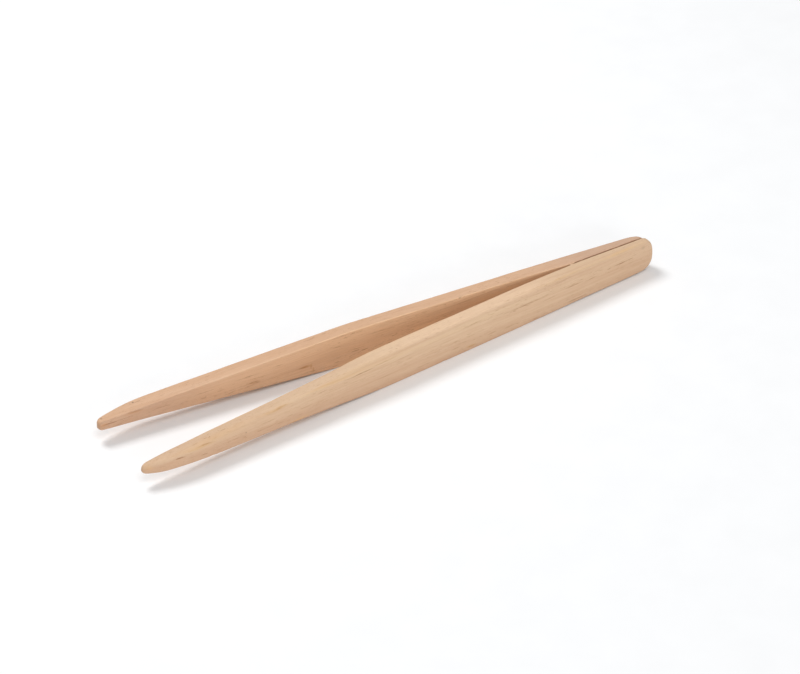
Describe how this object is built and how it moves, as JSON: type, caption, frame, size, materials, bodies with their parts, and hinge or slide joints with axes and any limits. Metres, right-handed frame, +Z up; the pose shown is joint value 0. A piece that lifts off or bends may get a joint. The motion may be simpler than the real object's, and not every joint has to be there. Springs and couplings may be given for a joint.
{
  "type": "wooden clay modeling tweezers",
  "caption": "Wooden spring tweezers for clay work: tapered hardwood arms glued face to face at the butt splay into a V and flex shut at the tips.",
  "frame": {"origin": "on the surface that the tool stands on, under the middle of its length and midway between the arms", "axes": "+X towards the glued butt, tips towards -X; +Y towards the right arm as seen by the person who holds the butt; +Z up, across the width of the laths, with the tool standing on the narrow edges of its arms"},
  "size_m": [0.23, 0.0374, 0.0144],
  "materials": {
    "left_arm_wood": "sanded bare pale hardwood, straight fine grain, satin",
    "right_arm_wood": "sanded bare pale hardwood, straight fine grain, slightly pinker, satin",
    "cured_glue": "dried wood glue, pale amber, slightly glossy"
  },
  "bodies": {
    "glued_butt": {"left_arm_butt": "left_arm_wood", "right_arm_butt": "right_arm_wood", "glue_line": "cured_glue"},
    "left_arm": {"left_arm_blade": "left_arm_wood"},
    "right_arm": {"right_arm_blade": "right_arm_wood"}
  },
  "joints": [
    {"name": "left_arm_flex", "type": "hinge", "parent": "glued_butt", "child": "left_arm", "pos_m": [0.055, -0.00455, 0.0072], "axis": [0, 0, -1], "range_deg": [0, 4.78], "stiffness_Nm_per_rad": 24},
    {"name": "right_arm_flex", "type": "hinge", "parent": "glued_butt", "child": "right_arm", "pos_m": [0.055, 0.00455, 0.0072], "axis": [0, 0, 1], "range_deg": [0, 4.78], "stiffness_Nm_per_rad": 24}
  ]
}
